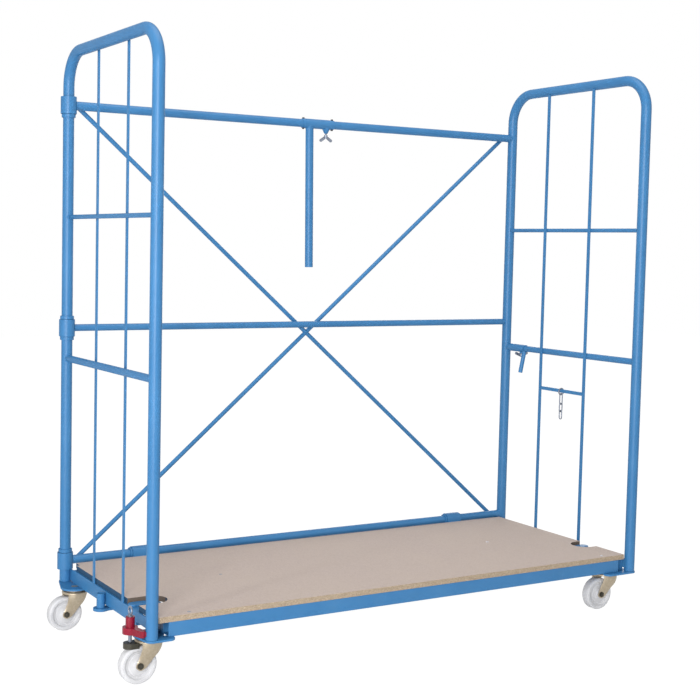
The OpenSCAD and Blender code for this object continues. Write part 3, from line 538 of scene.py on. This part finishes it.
def seen_directly(tree):
    """1 for rays from the camera, gloss and glass, and 0 for the light that falls on the object."""
    path = tree.nodes.new("ShaderNodeLightPath")
    total = path.outputs["Is Camera Ray"]
    for kind in ("Is Glossy Ray", "Is Transmission Ray"):
        either = tree.nodes.new("ShaderNodeMath")
        either.operation = "MAXIMUM"
        tree.links.new(total, either.inputs[0])
        tree.links.new(path.outputs[kind], either.inputs[1])
        total = either.outputs[0]
    return total


FLOOR_HALF = 12
FLOOR_Z = -0.5 * MM
FLOOR_GLOW = 1.08
FLOOR_SHARE = 0.92
SKY_LEVEL = 0.30


def stage_floor():
    """Pale floor that shows near white and still keeps some of the object's shadow."""
    bm = bmesh.new()
    bmesh.ops.create_grid(bm, x_segments=8, y_segments=8, size=FLOOR_HALF)
    mesh = bpy.data.meshes.new("floor")
    bm.to_mesh(mesh)
    bm.free()
    floor = bpy.data.objects.new("floor", mesh)
    floor.location.z = FLOOR_Z
    bpy.context.scene.collection.objects.link(floor)
    p = Paint("floor")
    p.set(Roughness=0.9, Base_Color=(0.9, 0.9, 0.9, 1))
    glow = p.node("ShaderNodeEmission", Color=(1, 1, 1, 1), Strength=FLOOR_GLOW)
    share = p.nodes.new("ShaderNodeMath")
    share.operation = "MULTIPLY"
    share.inputs[1].default_value = FLOOR_SHARE
    p.links.new(seen_directly(p.mat.node_tree), share.inputs[0])
    blend = p.nodes.new("ShaderNodeMixShader")
    p.links.new(share.outputs[0], blend.inputs[0])
    p.links.new(p.bsdf.outputs[0], blend.inputs[1])
    p.links.new(glow.outputs[0], blend.inputs[2])
    out = p.nodes["Material Output"]
    p.links.new(blend.outputs[0], out.inputs["Surface"])
    mesh.materials.append(p.mat)


def sky():
    world = bpy.data.worlds.new("sky")
    bpy.context.scene.world = world
    world.use_nodes = True
    tree = world.node_tree
    back = tree.nodes["Background"]
    back.inputs["Color"].default_value = (1, 1, 1, 1)
    level = tree.nodes.new("ShaderNodeMapRange")
    level.inputs["To Min"].default_value = SKY_LEVEL
    level.inputs["To Max"].default_value = 1.0
    tree.links.new(seen_directly(tree), level.inputs["Value"])
    tree.links.new(level.outputs["Result"], back.inputs["Strength"])


def lamp(name, at, to, width, height, power):
    data = bpy.data.lights.new(name, "AREA")
    data.shape = "RECTANGLE"
    data.size = width
    data.size_y = height
    data.energy = power
    made = bpy.data.objects.new(name, data)
    made.location = at
    made.rotation_euler = (Vector(to) - Vector(at)).to_track_quat("-Z", "Y").to_euler()
    bpy.context.scene.collection.objects.link(made)


# name, place, aim, width, height in metres, power in watts
LAMPS = [
    ("key", (-3.6, -4.2, 1.5), (0, 0, 0.9), 1.7, 2.9, 225),
    ("strip", (-5.2, -2.2, 1.5), (-0.3, 0, 0.9), 0.3, 2.9, 55),
    ("fill", (3.8, -3.4, 2.6), (0, 0, 0.8), 2.5, 2.5, 10),
    ("top", (0, -0.5, 4.2), (0, 0, 0), 3.0, 3.0, 66),
    ("back", (3.4, 3.8, 1.8), (0, 0, 0.8), 2.5, 2.5, 45),
]
sky()
stage_floor()
for row in LAMPS:
    lamp(*row)

# Camera fitted to the photograph, whose frame is IMAGE pixels square
CAMERA_AT = Vector((-2.1803, -3.47011, 1.18158))
CAMERA_RIGHT = Vector((0.864329, -0.5025, 0.020718))
CAMERA_UP = Vector((0.016129, 0.068868, 0.997495))
CAMERA_AHEAD = Vector((0.502668, 0.86183, -0.06763))
FOCAL_PIXELS = 1299.0
PRINCIPAL = (310.43, 334.32)
IMAGE = 700
SENSOR = 36
cam_data = bpy.data.cameras.new("camera")
camera = bpy.data.objects.new("camera", cam_data)
bpy.context.scene.collection.objects.link(camera)
cam_data.sensor_width = SENSOR
cam_data.lens = FOCAL_PIXELS / IMAGE * SENSOR
cam_data.shift_x = (IMAGE / 2 - PRINCIPAL[0]) / IMAGE
cam_data.shift_y = (PRINCIPAL[1] - IMAGE / 2) / IMAGE
turn = Matrix((CAMERA_RIGHT, CAMERA_UP, -CAMERA_AHEAD)).transposed().to_4x4()
camera.matrix_world = Matrix.Translation(CAMERA_AT) @ turn
bpy.context.scene.camera = camera
bpy.context.scene.view_settings.view_transform = "Standard"
